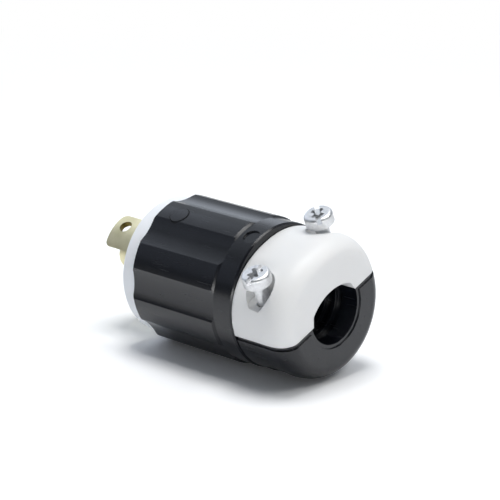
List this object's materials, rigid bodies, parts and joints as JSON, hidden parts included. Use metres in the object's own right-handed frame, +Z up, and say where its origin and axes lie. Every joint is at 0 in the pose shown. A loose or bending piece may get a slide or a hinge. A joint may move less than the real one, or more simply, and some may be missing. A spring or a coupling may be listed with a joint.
{
  "type": "locking power plug",
  "caption": "Round locking power plug with curved blades, a round earth pin, a fluted grip and a two-jaw screw cord clamp.",
  "frame": {"origin": "centre of the white face that meets the receptacle, on the plug's axis", "axes": "+X along the plug's axis towards the cord, +Z up as the plug lies on two of its ridges"},
  "size_m": [0.1117, 0.0622, 0.065],
  "materials": {
    "black_nylon": "satin moulded nylon",
    "white_nylon": "satin moulded nylon",
    "grey_nylon": "matte moulded nylon",
    "brass_contacts": "pale brass, lightly polished",
    "plated_steel": "bright zinc plate",
    "seal_rubber": "soft rubber"
  },
  "bodies": {
    "plug": {"housing": "black_nylon", "lower_jaw": "black_nylon", "contact_block": "white_nylon", "terminal_cover": "grey_nylon", "blade_line": "brass_contacts", "blade_neutral": "brass_contacts", "earth_pin": "brass_contacts", "lug_line": "brass_contacts", "lug_neutral": "brass_contacts", "lug_earth": "brass_contacts", "thread_insert_upper": "brass_contacts", "thread_insert_lower": "brass_contacts", "set_screw_line": "plated_steel", "set_screw_neutral": "plated_steel", "set_screw_earth": "plated_steel", "assembly_screw_upper": "plated_steel", "assembly_screw_lower": "plated_steel", "clamp_screw_near": "plated_steel", "clamp_screw_far": "plated_steel", "clamp_nut_near": "plated_steel", "clamp_nut_far": "plated_steel", "cord_seal": "seal_rubber"},
    "clamp_jaw": {"upper_jaw": "white_nylon"}
  },
  "joints": [
    {"name": "clamp_slide", "type": "slide", "parent": "plug", "child": "clamp_jaw", "axis": [0, -0.3827, 0.9239], "range_m": [0, 0.0088]}
  ]
}
